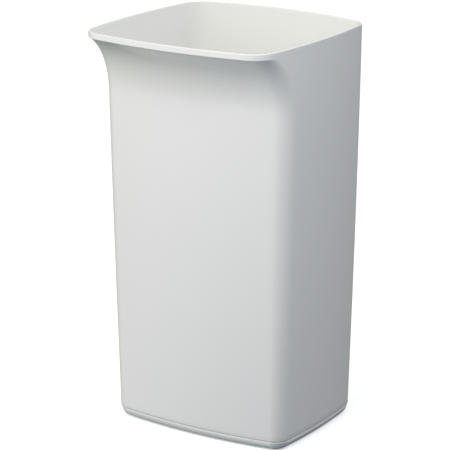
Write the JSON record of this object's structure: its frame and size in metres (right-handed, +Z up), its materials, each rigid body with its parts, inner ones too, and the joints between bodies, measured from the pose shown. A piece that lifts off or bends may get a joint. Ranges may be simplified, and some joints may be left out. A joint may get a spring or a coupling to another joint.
{
  "type": "waste bin",
  "caption": "Open-top free-standing waste bin with bowed tapering walls, a flared pull lip at the front and a foot ring on rubber pads.",
  "frame": {"origin": "middle of the overall footprint, on the ground under the pads", "axes": "+Z up, -Y towards the front with the pull lip, +X to the right of someone who faces the front"},
  "size_m": [0.32, 0.315, 0.59],
  "materials": {
    "body_plastic": "white moulded polypropylene, satin gloss",
    "ring_plastic": "off-white moulded polypropylene, finer matt",
    "pad_rubber": "dark grey rubber",
    "screw_steel": "zinc-plated steel"
  },
  "bodies": {
    "root": {"bin_body": "body_plastic", "base_ring": "ring_plastic", "ring_screws": "screw_steel", "foot_pad_front_left": "pad_rubber", "foot_pad_front_right": "pad_rubber", "foot_pad_rear_left": "pad_rubber", "foot_pad_rear_right": "pad_rubber"}
  },
  "joints": []
}
